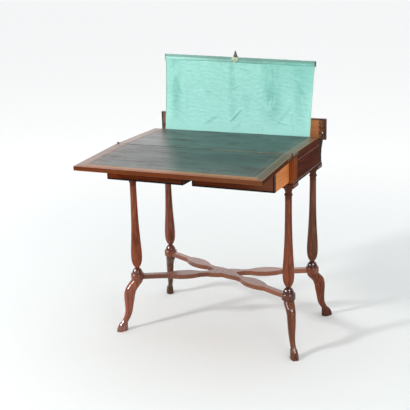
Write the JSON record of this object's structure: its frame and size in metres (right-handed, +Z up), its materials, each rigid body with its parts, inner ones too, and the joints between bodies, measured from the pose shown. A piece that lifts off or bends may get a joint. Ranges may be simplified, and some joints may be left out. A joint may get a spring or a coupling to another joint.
{
  "type": "writing table",
  "caption": "Wooden writing table on turned legs with cabriole feet, a fold-over leather leaf carried on pulled-out drawers, and a rising cloth screen at the back.",
  "frame": {"origin": "on the floor, midway between the outermost points of the open table", "axes": "+Z up, -Y towards the sitter, +X to the sitter's right"},
  "size_m": [0.7168, 0.7086, 1.0221],
  "materials": {
    "mahogany": "french polish",
    "dark_mahogany": "dark polish",
    "ebonised": "ebonised polish",
    "drawer_wood": "unpolished",
    "leather": "waxed, tooled border",
    "cloth": "faded silk",
    "brass": "aged",
    "iron": "dark"
  },
  "bodies": {
    "table": {"leg_column_front_left": "mahogany", "leg_drum_front_left": "dark_mahogany", "cabriole_foot_front_left": "mahogany", "leg_column_front_right": "mahogany", "leg_drum_front_right": "dark_mahogany", "cabriole_foot_front_right": "mahogany", "leg_column_back_left": "mahogany", "leg_drum_back_left": "dark_mahogany", "cabriole_foot_back_left": "mahogany", "leg_column_back_right": "mahogany", "leg_drum_back_right": "dark_mahogany", "cabriole_foot_back_right": "mahogany", "stretcher_rail_lower": "mahogany", "stretcher_rail_upper": "mahogany", "corner_post_front_left": "mahogany", "corner_post_front_right": "mahogany", "corner_post_back_left": "mahogany", "corner_post_back_right": "mahogany", "side_panel_right": "mahogany", "side_panel_left": "mahogany", "bottom_board": "mahogany", "back_panel": "mahogany", "front_upper_rail": "mahogany", "centre_muntin": "mahogany", "centre_partition": "drawer_wood", "screen_well_wall": "drawer_wood", "drawer_guides": "drawer_wood", "base_mouldings": "mahogany", "side_beads": "ebonised", "rear_leaf": "mahogany", "rear_leather": "leather", "leaf_hinge_fixed_plates": "brass", "leaf_hinge_pins": "brass", "flap_pivot_pins": "iron", "flap_brackets": "iron", "roller_brackets": "brass", "pole_guides": "brass"},
    "front_leaf": {"front_leaf": "mahogany", "front_leather": "leather", "leaf_hinge_moving_plates": "brass"},
    "left_drawer": {"left_drawer_front": "mahogany", "left_drawer_edge_bead": "ebonised", "left_drawer_inner_side": "drawer_wood", "left_drawer_outer_side": "drawer_wood", "left_drawer_back": "drawer_wood", "left_drawer_bottom": "drawer_wood"},
    "right_drawer": {"right_drawer_front": "mahogany", "right_drawer_edge_bead": "ebonised", "right_drawer_inner_side": "drawer_wood", "right_drawer_outer_side": "drawer_wood", "right_drawer_back": "drawer_wood", "right_drawer_bottom": "drawer_wood"},
    "screen": {"screen_cloth": "cloth", "screen_rod": "drawer_wood", "screen_pole": "brass", "rod_bracket": "brass", "screen_finial": "iron"},
    "roller": {"screen_roller": "drawer_wood"},
    "rear_flap": {"rear_flap": "drawer_wood", "flap_screws": "iron"}
  },
  "joints": [
    {"name": "leaf_fold", "type": "hinge", "parent": "table", "child": "front_leaf", "pos_m": [0, -0.05787, 0.7203], "axis": [-1, 0, 0], "range_deg": [0, 183.47]},
    {"name": "left_drawer_slide", "type": "slide", "parent": "table", "child": "left_drawer", "axis": [0, -1, 0], "range_m": [-0.1455, 0]},
    {"name": "right_drawer_slide", "type": "slide", "parent": "table", "child": "right_drawer", "axis": [0, -1, 0], "range_m": [-0.1455, 0]},
    {"name": "screen_slide", "type": "slide", "parent": "table", "child": "screen", "axis": [0, 0, 1], "range_m": [-0.262, 0], "deforming": ["screen_cloth"]},
    {"name": "roller_turn", "type": "hinge", "parent": "table", "child": "roller", "pos_m": [0, 0.23013, 0.6525], "axis": [1, 0, 0], "range_deg": [-1073.25, 1]},
    {"name": "flap_fold", "type": "hinge", "parent": "table", "child": "rear_flap", "pos_m": [0, 0.31603, 0.7129], "axis": [1, 0, 0], "range_deg": [0, 90]}
  ],
  "couplings": [
    {"joint": "roller_turn", "follows": "screen_slide", "rad_per_m": 71.429}
  ]
}
